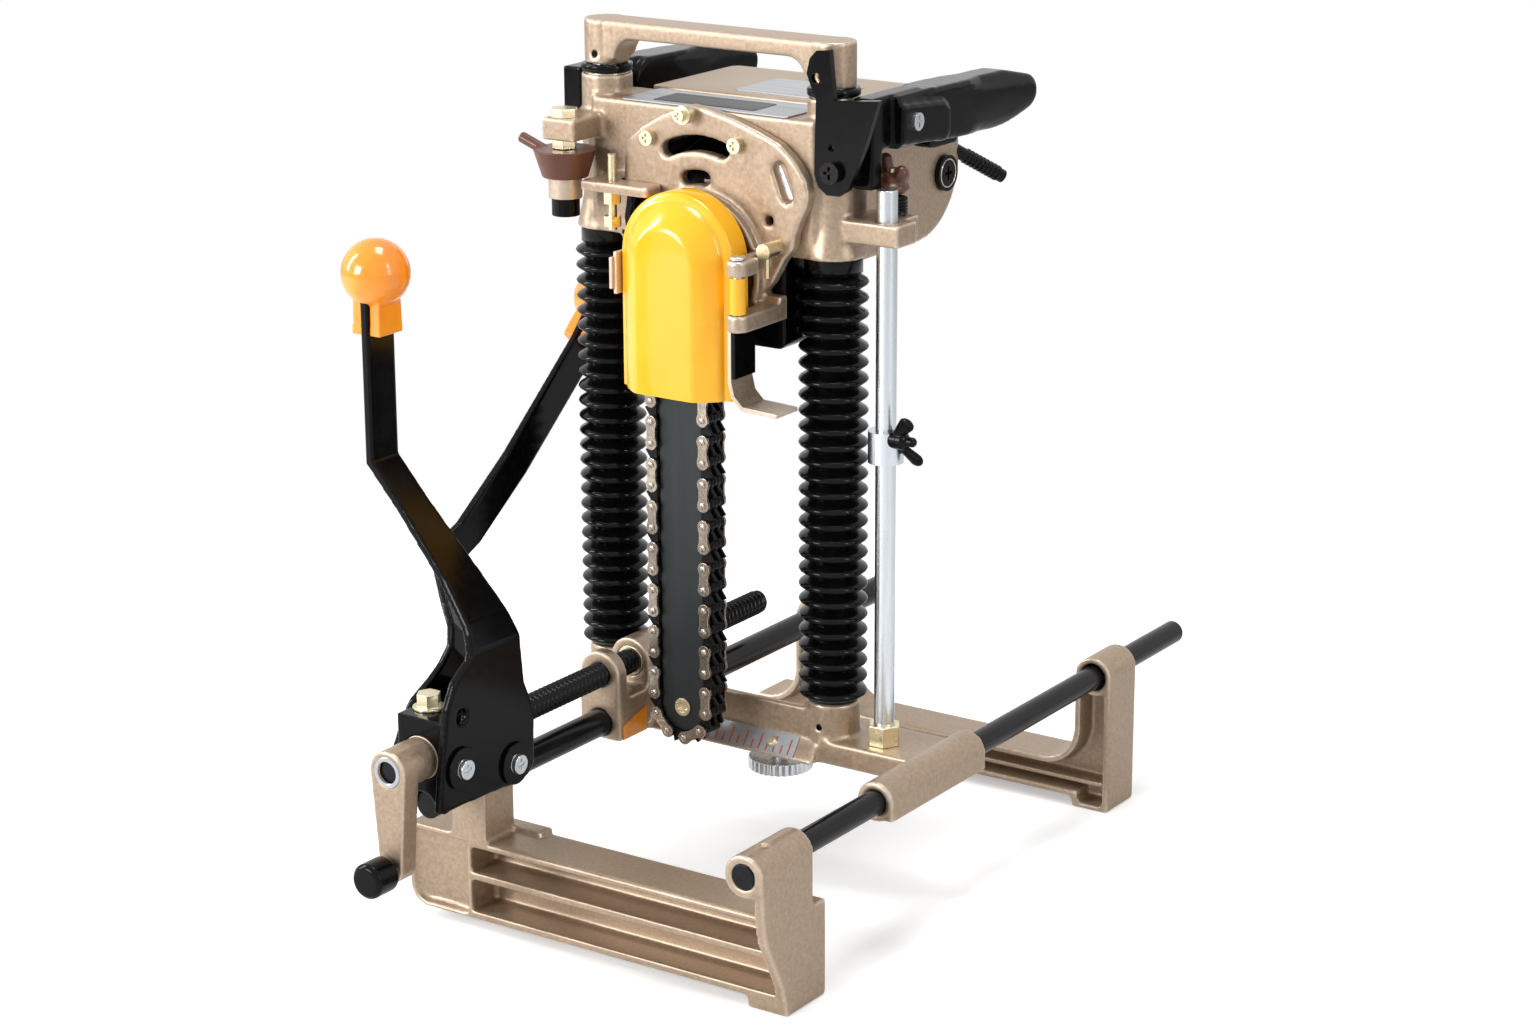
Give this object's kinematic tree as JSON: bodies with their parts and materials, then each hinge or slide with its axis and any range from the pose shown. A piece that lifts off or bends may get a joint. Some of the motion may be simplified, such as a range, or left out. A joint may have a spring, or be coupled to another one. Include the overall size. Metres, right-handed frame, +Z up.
{
  "type": "chain mortiser",
  "caption": "Free-standing chain mortiser: plunge head with motor, guide bar and chain on two bellows columns, over a crank-fed carriage on two rods between a fixed and a sliding jaw.",
  "frame": {"origin": "on the ground, under the middle of the overall length and width", "axes": "+X to the operator's right, +Y away from the operator along the guide rods, +Z up"},
  "size_m": [0.298, 0.54, 0.4865],
  "materials": {
    "black_plastic": "satin",
    "black_rubber": "matte",
    "black_steel": "gloss",
    "brass": "satin",
    "bronze_paint": "satin",
    "copper": "satin",
    "copper_brown": "satin",
    "grey_steel": "satin",
    "orange_plastic": "gloss",
    "steel": "satin",
    "yellow_plastic": "gloss",
    "zinc": "satin"
  },
  "bodies": {
    "frame": {"front_jaw": "bronze_paint", "right_guide_rod": "black_steel", "left_guide_rod": "black_steel", "frame_screws": "brass", "lever_bracket": "black_steel", "crank_bush": "bronze_paint", "lever_pivots": "zinc"},
    "front_lever": {"front_lever": "black_steel", "front_lever_knob": "orange_plastic"},
    "rear_lever": {"rear_lever": "black_steel", "rear_lever_knob": "orange_plastic"},
    "rear_jaw": {"rear_jaw": "bronze_paint"},
    "carriage": {"carriage_base": "bronze_paint", "feed_nut": "brass", "columns": "zinc", "left_spring": "steel", "right_spring": "steel", "left_bellows": "black_rubber", "right_bellows": "black_rubber", "bumper_rings": "black_rubber", "carry_handle": "bronze_paint", "column_pins": "grey_steel", "stop_rod": "zinc", "stop_rod_nut": "brass", "scale_plate": "steel", "scale_screw": "brass"},
    "crank": {"feed_screw": "black_steel", "crank_arm": "bronze_paint"},
    "crank_knob": {"crank_knob": "black_plastic"},
    "plate_lock_knob": {"plate_lock_knob": "steel"},
    "stop_collar": {"stop_collar": "zinc"},
    "stop_wing_screw": {"stop_wing_screw": "black_plastic"},
    "head": {"head_casting": "bronze_paint", "head_bushes": "brass", "gear_cover": "bronze_paint", "head_screws": "brass", "stator": "copper", "motor_housing": "bronze_paint", "brush_caps": "black_plastic", "guide_bar": "black_steel", "chain": "steel", "nose_bearing": "brass", "chip_deflector": "bronze_paint", "chip_guide": "black_steel", "cover_hinge_pin": "zinc", "left_grip": "black_plastic", "right_grip": "black_plastic", "grip_screws": "zinc", "cord_guard": "black_rubber", "left_lock_bolt": "brass", "lock_spring": "black_steel"},
    "spindle": {"spindle": "steel", "drive_gear": "steel"},
    "armature": {"armature": "steel"},
    "chain_cover": {"chain_cover": "yellow_plastic"},
    "cover_thumb_screw": {"cover_thumb_screw": "brass"},
    "trigger": {"trigger": "black_plastic"},
    "catch_plate": {"catch_plate": "grey_steel"},
    "left_lock_lever": {"left_lock_lever": "copper_brown"},
    "right_lock_lever": {"right_lock_lever": "copper_brown"}
  },
  "joints": [
    {"name": "front_lever_swing", "type": "hinge", "parent": "frame", "child": "front_lever", "pos_m": [-0.04585, -0.211, 0.109], "axis": [1, 0, 0], "range_deg": [-6, 6]},
    {"name": "rear_lever_swing", "type": "hinge", "parent": "frame", "child": "rear_lever", "pos_m": [-0.08215, -0.165, 0.0975], "axis": [1, 0, 0], "range_deg": [-6, 20]},
    {"name": "rear_jaw_slide", "type": "slide", "parent": "frame", "child": "rear_jaw", "axis": [0, 1, 0], "range_m": [-0.11, 0.04]},
    {"name": "carriage_slide", "type": "slide", "parent": "frame", "child": "carriage", "axis": [0, 1, 0], "range_m": [-0.06, 0.06]},
    {"name": "crank_turn", "type": "hinge", "parent": "frame", "child": "crank", "pos_m": [-0.064, -0.217, 0.114], "axis": [0, 1, 0], "range_deg": [-5500, 5500]},
    {"name": "crank_knob_turn", "type": "hinge", "parent": "crank", "child": "crank_knob", "pos_m": [-0.064, -0.262, 0.058], "axis": [0, 1, 0], "continuous": true},
    {"name": "plate_lock_knob_turn", "type": "hinge", "parent": "carriage", "child": "plate_lock_knob", "pos_m": [0.022, 0.001, 0.066], "axis": [0, 0, 1], "continuous": true},
    {"name": "stop_collar_slide", "type": "slide", "parent": "carriage", "child": "stop_collar", "axis": [0, 0, 1], "range_m": [-0.13, 0.09]},
    {"name": "stop_wing_turn", "type": "hinge", "parent": "stop_collar", "child": "stop_wing_screw", "pos_m": [0.11, -0.007, 0.264], "axis": [1, 0, 0], "continuous": true},
    {"name": "head_slide", "type": "slide", "parent": "carriage", "child": "head", "axis": [0, 0, 1], "range_m": [-0.095, 0], "stiffness_N_per_m": 400, "springref_m": 0.25, "deforming": ["left_bellows", "right_bellows", "left_spring", "right_spring"]},
    {"name": "armature_turn", "type": "hinge", "parent": "head", "child": "armature", "pos_m": [-0.005, 0.06, 0.401], "axis": [0, 1, 0], "continuous": true},
    {"name": "spindle_turn", "type": "hinge", "parent": "head", "child": "spindle", "pos_m": [-0.008, -0.03, 0.357], "axis": [0, 1, 0], "continuous": true},
    {"name": "chain_cover_swing", "type": "hinge", "parent": "head", "child": "chain_cover", "pos_m": [0.0385, -0.064, 0.35], "axis": [0, 0, 1], "range_deg": [0, 110]},
    {"name": "cover_thumb_screw_turn", "type": "hinge", "parent": "head", "child": "cover_thumb_screw", "pos_m": [0.0435, -0.04, 0.374], "axis": [0, 1, 0], "range_deg": [-170, 12]},
    {"name": "trigger_press", "type": "slide", "parent": "head", "child": "trigger", "axis": [0, 0, 1], "range_m": [0, 0.004], "stiffness_N_per_m": 500, "springref_m": -0.002},
    {"name": "catch_swing", "type": "hinge", "parent": "head", "child": "catch_plate", "pos_m": [0.075, -0.024, 0.418], "axis": [0, 1, 0], "range_deg": [0, 60]},
    {"name": "left_lock_turn", "type": "hinge", "parent": "head", "child": "left_lock_lever", "pos_m": [-0.094, -0.042, 0.408], "axis": [0, 0, 1], "range_deg": [-60, 60]},
    {"name": "right_lock_turn", "type": "hinge", "parent": "head", "child": "right_lock_lever", "pos_m": [0.0915, 0.009, 0.406], "axis": [0, 0, 1], "range_deg": [-35, 35]}
  ],
  "couplings": [
    {"joint": "crank_turn", "follows": "carriage_slide", "rad_per_m": -1570.8},
    {"joint": "spindle_turn", "follows": "armature_turn", "ratio": -0.21951}
  ]
}
